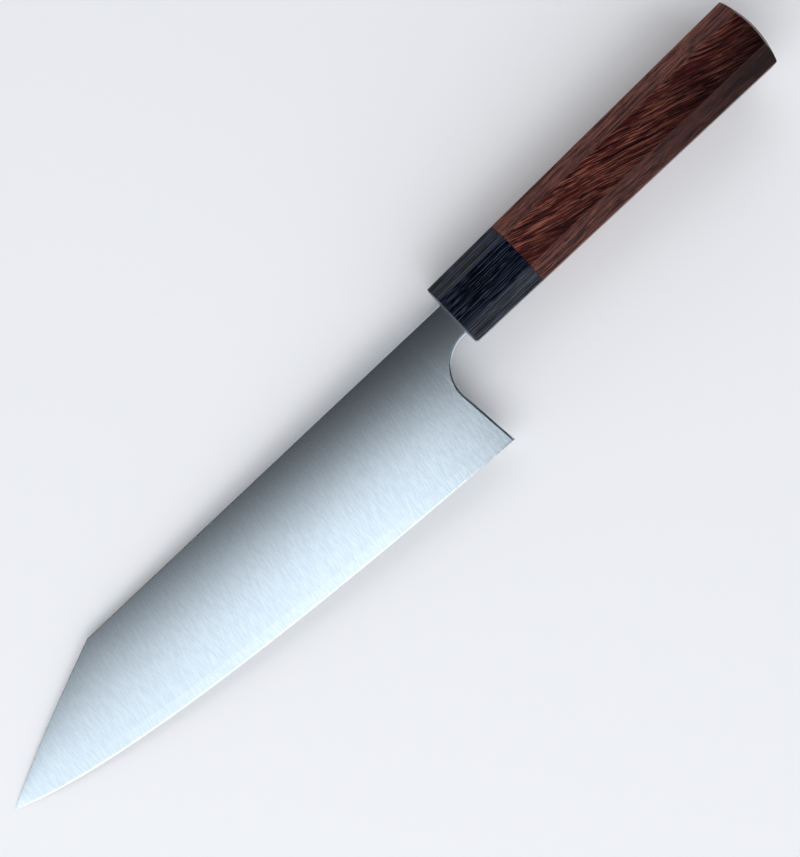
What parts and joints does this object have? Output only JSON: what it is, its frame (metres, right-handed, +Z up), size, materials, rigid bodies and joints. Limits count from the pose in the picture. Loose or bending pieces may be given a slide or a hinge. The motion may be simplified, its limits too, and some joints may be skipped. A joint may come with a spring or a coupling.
{
  "type": "gyuto knife",
  "caption": "Gyuto kitchen knife with an angled point: clad steel blade on a hidden tang, glued into an eight-sided rosewood handle with a dark ferrule.",
  "frame": {"origin": "on the table, under the middle of the lying knife's box", "axes": "+X from the butt to the point, +Y from the spine to the cutting edge, +Z up out of the left face"},
  "size_m": [0.357, 0.0572, 0.0278],
  "materials": {
    "core_steel": "satin",
    "clad_steel": "satin",
    "ebony": "satin",
    "rosewood": "satin",
    "dowel_wood": "matte",
    "epoxy": "satin",
    "neck_sealant": "satin"
  },
  "bodies": {
    "root": {"blade_core": "core_steel", "left_cladding": "clad_steel", "right_cladding": "clad_steel", "ferrule": "ebony", "handle_body": "rosewood", "tang_dowel": "dowel_wood", "tang_epoxy": "epoxy", "neck_seal": "neck_sealant"}
  },
  "joints": []
}
